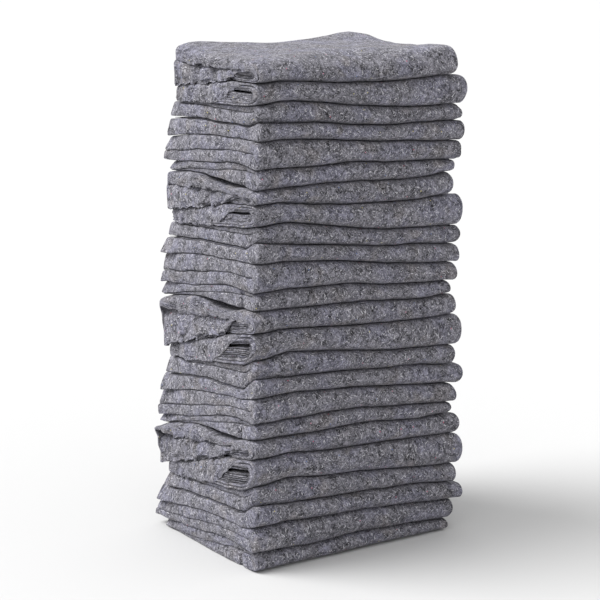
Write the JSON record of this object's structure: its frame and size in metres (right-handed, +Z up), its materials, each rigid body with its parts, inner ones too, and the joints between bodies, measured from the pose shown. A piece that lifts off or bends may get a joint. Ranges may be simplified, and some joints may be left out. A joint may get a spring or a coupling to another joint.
{
  "type": "moving blanket stack",
  "caption": "Stack of grey recycled-felt moving blankets, each folded in half four times and laid flat with its long round folds facing one way.",
  "frame": {"origin": "centre of the footprint, on the surface that the stack stands on", "axes": "+Z up, -Y the side with the long round folds, +X along those folds, to the right seen from that side"},
  "size_m": [0.488, 0.371, 0.9468],
  "materials": {
    "felt": "matte stitch-bonded felt of mixed grey fibres with light and dark flecks"
  },
  "bodies": {
    "root": {"blanket_01": "felt", "blanket_02": "felt", "blanket_03": "felt", "blanket_04": "felt", "blanket_05": "felt", "blanket_06": "felt", "blanket_07": "felt", "blanket_08": "felt", "blanket_09": "felt", "blanket_10": "felt", "blanket_11": "felt", "blanket_12": "felt", "blanket_13": "felt", "blanket_14": "felt", "blanket_15": "felt", "blanket_16": "felt", "blanket_17": "felt", "blanket_18": "felt", "blanket_19": "felt", "blanket_20": "felt", "blanket_21": "felt", "blanket_22": "felt", "blanket_23": "felt", "blanket_24": "felt"}
  },
  "joints": []
}
